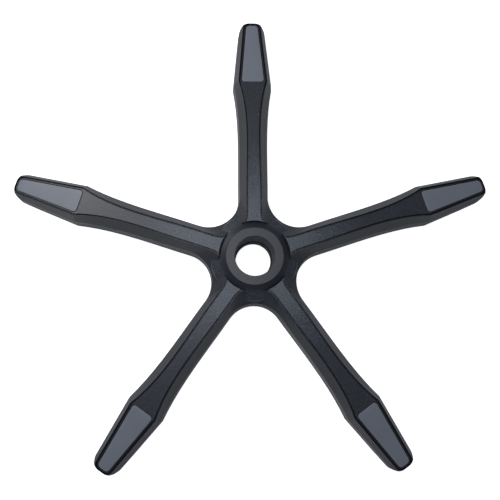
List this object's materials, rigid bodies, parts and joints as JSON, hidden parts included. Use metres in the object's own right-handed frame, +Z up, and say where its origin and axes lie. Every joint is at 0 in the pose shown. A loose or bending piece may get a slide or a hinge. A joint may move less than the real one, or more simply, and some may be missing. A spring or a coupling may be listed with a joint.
{
  "type": "chair base",
  "caption": "Star-shaped base for an office chair: one ribbed moulding with a tapered gas-spring hub, arched arms with caster stem sockets, and grey pads let into the tips.",
  "frame": {"origin": "on the hub axis, at the lower mouth of the gas-spring taper, in the plane that the tips and the hub tube stand on", "axes": "+Z up along the hub axis; +Y along the first arm"},
  "size_m": [0.6316, 0.6023, 0.062],
  "materials": {
    "nylon": "fine-grained black glass-filled nylon",
    "pad": "smooth mid-grey"
  },
  "bodies": {
    "root": {"star_base": "nylon", "foot_pad_1": "pad", "foot_pad_2": "pad", "foot_pad_3": "pad", "foot_pad_4": "pad", "foot_pad_5": "pad"}
  },
  "joints": []
}
